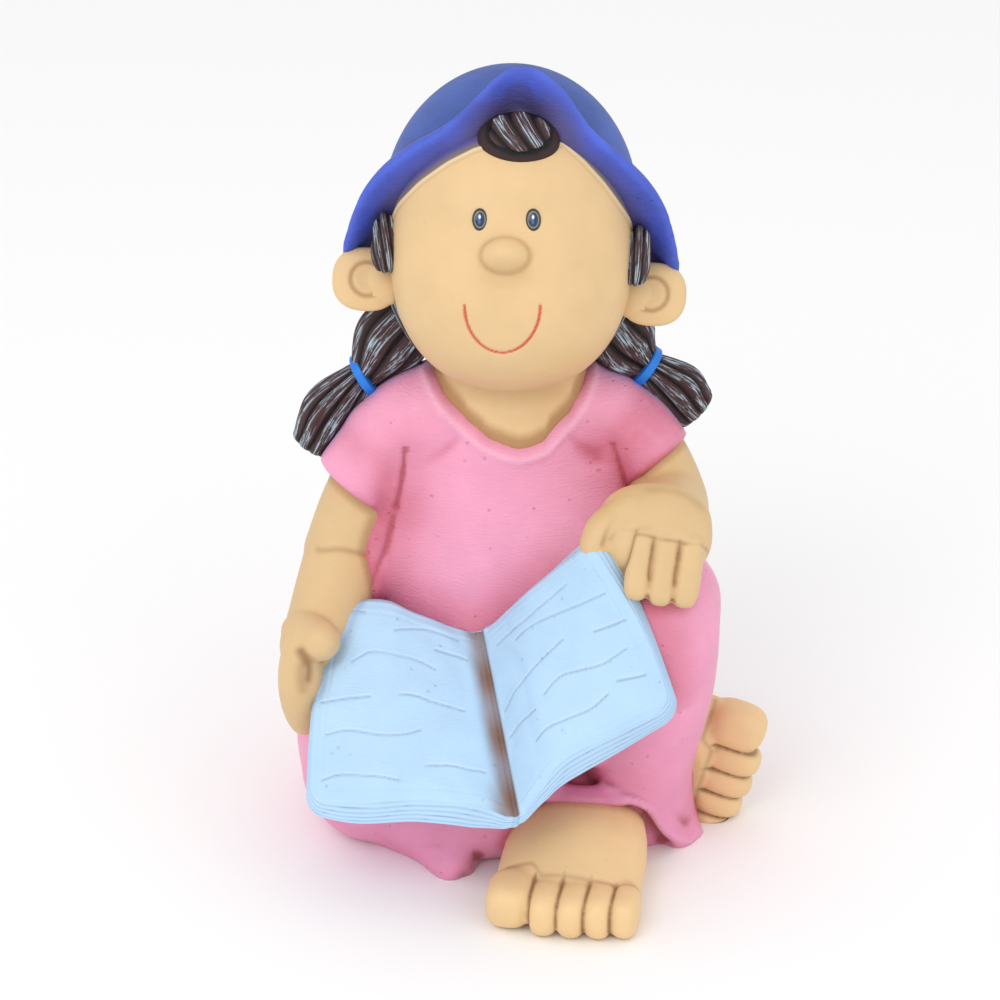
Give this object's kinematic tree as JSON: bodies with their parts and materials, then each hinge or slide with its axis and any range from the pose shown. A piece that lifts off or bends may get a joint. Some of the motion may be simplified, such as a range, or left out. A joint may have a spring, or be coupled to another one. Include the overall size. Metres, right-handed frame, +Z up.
{
  "type": "seated girl figurine",
  "caption": "Cast and painted garden figurine of a seated girl in a brimmed hat, reading an open book on her lap.",
  "frame": {"origin": "on the flat underside, at the middle of the seat", "axes": "+Z up, -Y the way the figure faces, +X towards the raised knee"},
  "size_m": [0.2396, 0.2244, 0.3837],
  "materials": {
    "dress_paint": "satin rose paint on cast resin, for the dress and trousers",
    "skin_paint": "satin tan paint on cast resin, for the face, ears, neck, arms and feet",
    "hat_paint": "satin blue paint on cast resin",
    "hair_paint": "dark brown paint, dry-brushed with pale blue",
    "book_paint": "pale blue paint, shaded brown in the gutter",
    "tie_paint": "bright blue paint, for the hair ties",
    "eye_gloss": "gloss lacquer over the painted eyes"
  },
  "bodies": {
    "root": {"girl_figurine": "dress_paint"}
  },
  "joints": []
}
